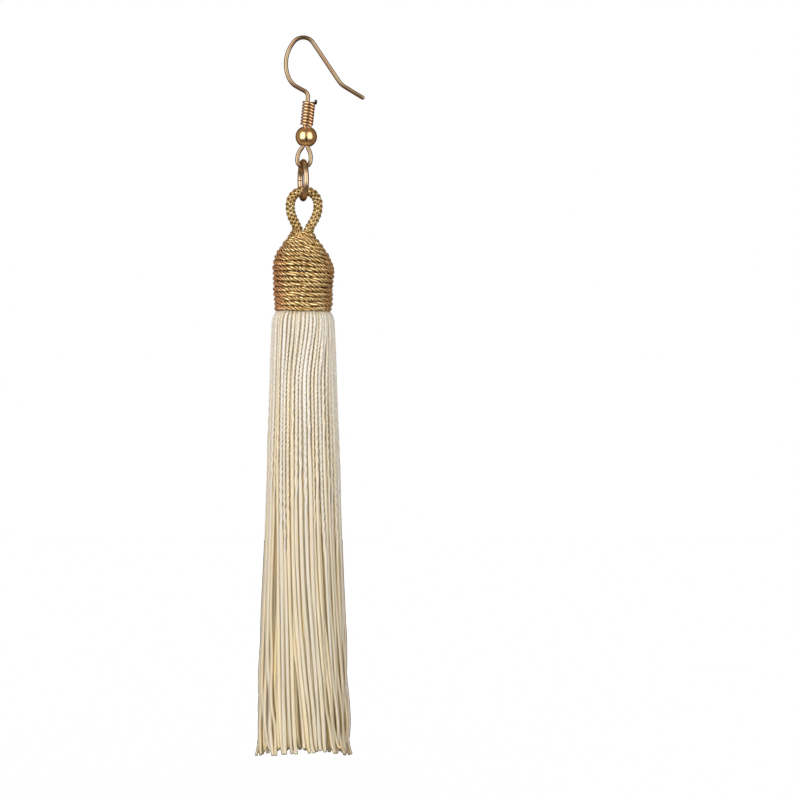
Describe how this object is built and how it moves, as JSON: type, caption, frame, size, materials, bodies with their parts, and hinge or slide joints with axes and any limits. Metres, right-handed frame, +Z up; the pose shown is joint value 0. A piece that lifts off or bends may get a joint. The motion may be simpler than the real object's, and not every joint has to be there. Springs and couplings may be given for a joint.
{
  "type": "tassel earring",
  "caption": "Ear hook of bent gold wire with a ball and a coil, from which a jump ring holds a long cream thread tassel with a gold yarn cap and loop.",
  "frame": {"origin": "underside of the hook's arch, where the earring hangs on the ear", "axes": "+Z up, +X towards the hook's tail in the plane of the hook, +Y towards the back"},
  "size_m": [0.0165, 0.0146, 0.1083],
  "materials": {
    "gold_metal": "polished gold plate",
    "gold_yarn": "twisted metallic gold yarn",
    "cream_thread": "soft twisted thread with a silk sheen"
  },
  "bodies": {
    "hook": {"ear_wire": "gold_metal", "wire_coil": "gold_metal", "ball_bead": "gold_metal"},
    "ring": {"jump_ring": "gold_metal"},
    "tassel": {"cord_loop": "gold_yarn", "wound_cap": "gold_yarn", "thread_skirt": "cream_thread"}
  },
  "joints": [
    {"name": "ring_swing", "type": "hinge", "parent": "hook", "child": "ring", "pos_m": [0, 0, -0.01908], "axis": [0.9816, 0.1908, 0], "range_deg": [-75, 75]},
    {"name": "tassel_swing", "type": "hinge", "parent": "ring", "child": "tassel", "pos_m": [0, 0, -0.02387], "axis": [-0.1908, 0.9816, 0], "range_deg": [-75, 75]}
  ]
}
